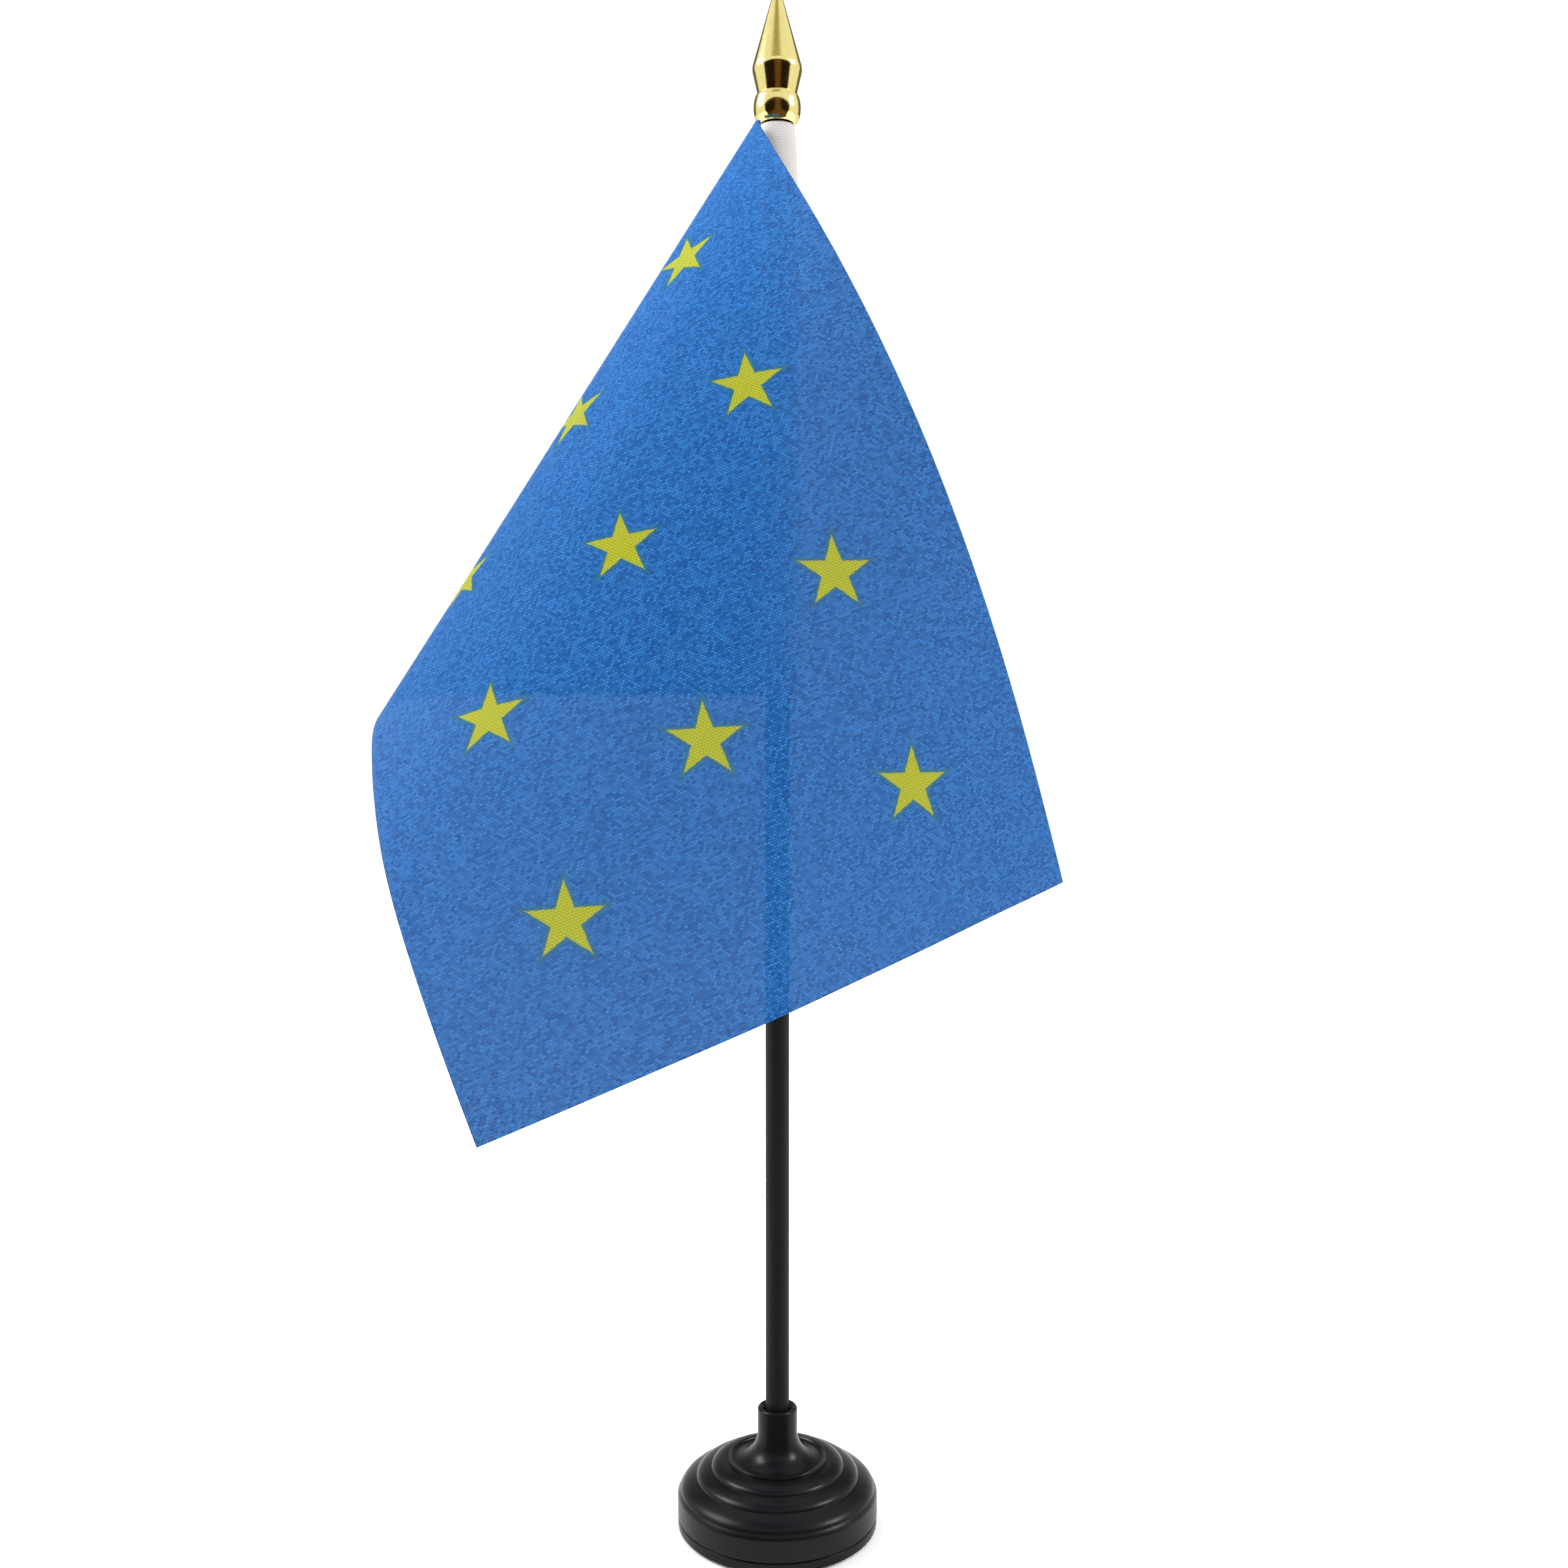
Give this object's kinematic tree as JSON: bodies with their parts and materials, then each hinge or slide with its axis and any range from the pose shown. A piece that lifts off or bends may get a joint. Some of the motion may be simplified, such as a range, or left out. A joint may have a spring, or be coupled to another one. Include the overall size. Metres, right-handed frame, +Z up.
{
  "type": "desk flag stand",
  "caption": "Desk flag stand with a weighted round black base, push-in pole, gilt spear finial, and a small blue knit flag with gold stars that hangs in a soft diagonal fold.",
  "frame": {"origin": "centre of the underside of the foot pad, on the pole's axis", "axes": "+Z up along the pole, -Y towards the side that the fold faces, +X to the viewer's right as seen from that side"},
  "size_m": [0.1093, 0.0895, 0.2747],
  "materials": {
    "base_plastic": "injection-moulded black plastic, semi-gloss",
    "pole_plastic": "extruded black plastic rod, satin",
    "gilt_plastic": "vacuum-metallised pale gold, mirror-bright",
    "weight_steel": "punched steel ring, unpainted",
    "felt": "pressed felt, dark grey",
    "white_tape": "woven white polyester tape, satin",
    "blue_knit": "fine warp-knit polyester, printed mid blue with gold stars, lets a little light through"
  },
  "bodies": {
    "base": {"foot_pad": "felt", "base_cover": "base_plastic", "base_weight": "weight_steel", "base_shell": "base_plastic"},
    "pole": {"pole": "pole_plastic"},
    "flag": {"flag_sleeve": "white_tape", "flag_cloth": "blue_knit"},
    "finial": {"finial": "gilt_plastic"}
  },
  "joints": [
    {"name": "pole_lift", "type": "slide", "parent": "base", "child": "pole", "axis": [0, 0, 1], "range_m": [0, 0.0174]},
    {"name": "flag_swing", "type": "hinge", "parent": "pole", "child": "flag", "pos_m": [0, 0, 0.2], "axis": [0, 0, 1], "continuous": true},
    {"name": "finial_pull", "type": "slide", "parent": "pole", "child": "finial", "axis": [0, 0, 1], "range_m": [0, 0.0087]}
  ]
}
